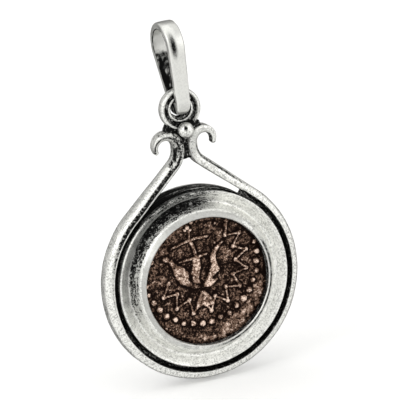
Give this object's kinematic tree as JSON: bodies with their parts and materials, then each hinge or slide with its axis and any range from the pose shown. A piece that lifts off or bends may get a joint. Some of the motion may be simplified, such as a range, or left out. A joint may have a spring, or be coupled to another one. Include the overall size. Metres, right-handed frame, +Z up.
{
  "type": "coin pendant",
  "caption": "Round pendant of antiqued silver with a worn bronze coin in a raised bezel, a wire frame with curled ends, a double eye ring and a strip bail that it swings from.",
  "frame": {"origin": "highest point of the inside of the bail's loop, where a chain or cord carries it", "axes": "+Z up along the hanging pendant, -Y towards the viewer of the coin's face, +X to the viewer's right"},
  "size_m": [0.024, 0.0069, 0.0421],
  "materials": {
    "silver": "worn antiqued silver, satin with dark patina in the recesses",
    "bronze": "old bronze, dark brown ground with rubbed light relief"
  },
  "bodies": {
    "bail": {"bail": "silver"},
    "drop": {"frame": "silver", "bezel": "silver", "coin": "bronze"}
  },
  "joints": [
    {"name": "swing", "type": "hinge", "parent": "bail", "child": "drop", "pos_m": [0, -0.00125, -0.00753], "axis": [1, 0, 0], "range_deg": [-90, 90]}
  ]
}
